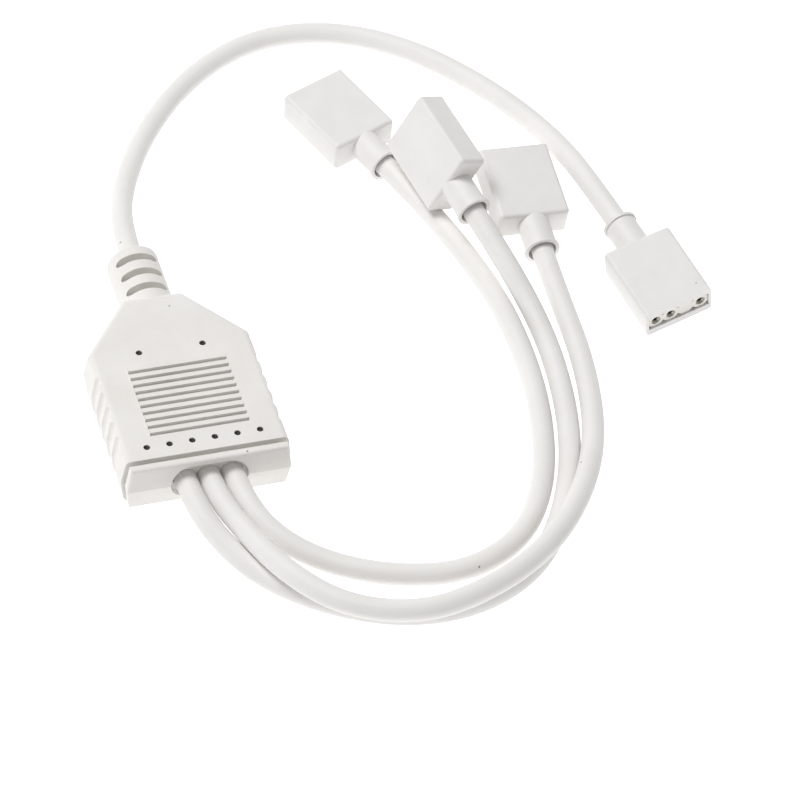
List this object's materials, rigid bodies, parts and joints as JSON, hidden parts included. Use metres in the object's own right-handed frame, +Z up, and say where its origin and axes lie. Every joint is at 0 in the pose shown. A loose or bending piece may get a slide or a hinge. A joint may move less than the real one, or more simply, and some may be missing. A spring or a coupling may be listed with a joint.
{
  "type": "rgb splitter cable",
  "caption": "White splitter cable for RGB lighting: a slotted-neck moulded block joins an input cable to output cables that end in flat sockets for header pins.",
  "frame": {"origin": "bottom centre of the splitter block at the floor", "axes": "+Y along the block towards the neck of the input cable, +X to the right seen from above, +Z up"},
  "size_m": [0.096, 0.1279, 0.0166],
  "materials": {
    "housing": "satin moulded",
    "shell": "satin moulded",
    "jacket": "soft satin",
    "insert": "matt moulded",
    "contact": "plated",
    "inner": "matt",
    "potting": "matt",
    "board": "lacquered laminate",
    "power_core": "satin",
    "data_core": "satin",
    "ground_core": "satin"
  },
  "bodies": {
    "root": {"splitter_housing": "housing", "inner_moulding": "inner", "junction_board": "board", "input_cable": "jacket", "input_shell": "shell", "input_insert": "insert", "input_potting": "potting", "input_power_contact": "contact", "input_power_splitter_core": "power_core", "input_power_connector_core": "power_core", "input_data_contact": "contact", "input_data_splitter_core": "data_core", "input_data_connector_core": "data_core", "input_ground_contact": "contact", "input_ground_splitter_core": "ground_core", "input_ground_connector_core": "ground_core", "left_output_cable": "jacket", "left_output_shell": "shell", "left_output_insert": "insert", "left_output_potting": "potting", "left_output_power_contact": "contact", "left_output_power_splitter_core": "power_core", "left_output_power_connector_core": "power_core", "left_output_data_contact": "contact", "left_output_data_splitter_core": "data_core", "left_output_data_connector_core": "data_core", "left_output_ground_contact": "contact", "left_output_ground_splitter_core": "ground_core", "left_output_ground_connector_core": "ground_core", "middle_output_cable": "jacket", "middle_output_shell": "shell", "middle_output_insert": "insert", "middle_output_potting": "potting", "middle_output_power_contact": "contact", "middle_output_power_splitter_core": "power_core", "middle_output_power_connector_core": "power_core", "middle_output_data_contact": "contact", "middle_output_data_splitter_core": "data_core", "middle_output_data_connector_core": "data_core", "middle_output_ground_contact": "contact", "middle_output_ground_splitter_core": "ground_core", "middle_output_ground_connector_core": "ground_core", "right_output_cable": "jacket", "right_output_shell": "shell", "right_output_insert": "insert", "right_output_potting": "potting", "right_output_power_contact": "contact", "right_output_power_splitter_core": "power_core", "right_output_power_connector_core": "power_core", "right_output_data_contact": "contact", "right_output_data_splitter_core": "data_core", "right_output_data_connector_core": "data_core", "right_output_ground_contact": "contact", "right_output_ground_splitter_core": "ground_core", "right_output_ground_connector_core": "ground_core"}
  },
  "joints": []
}
